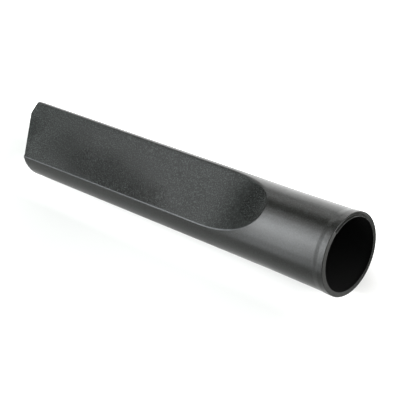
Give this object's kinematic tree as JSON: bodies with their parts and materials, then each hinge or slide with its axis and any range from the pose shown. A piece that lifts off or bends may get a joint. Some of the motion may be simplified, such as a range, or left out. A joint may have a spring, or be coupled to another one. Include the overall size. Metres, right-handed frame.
{
  "type": "vacuum crevice tool",
  "caption": "Moulded vacuum crevice nozzle: a round push-on socket that runs through long scoops into a flat-sided hollow duct with a slanted open tip.",
  "frame": {"origin": "centre of the socket's mouth, in the plane of its rim", "axes": "+X along the tool from the mouth to the tip, Z square to the flats, the longer side of the tip towards -Y"},
  "size_m": [0.2152, 0.0392, 0.0392],
  "materials": {
    "black_plastic": "moulded, satin on the round parts and fine-grained on the flats"
  },
  "bodies": {
    "root": {"nozzle_body": "black_plastic"}
  },
  "joints": []
}
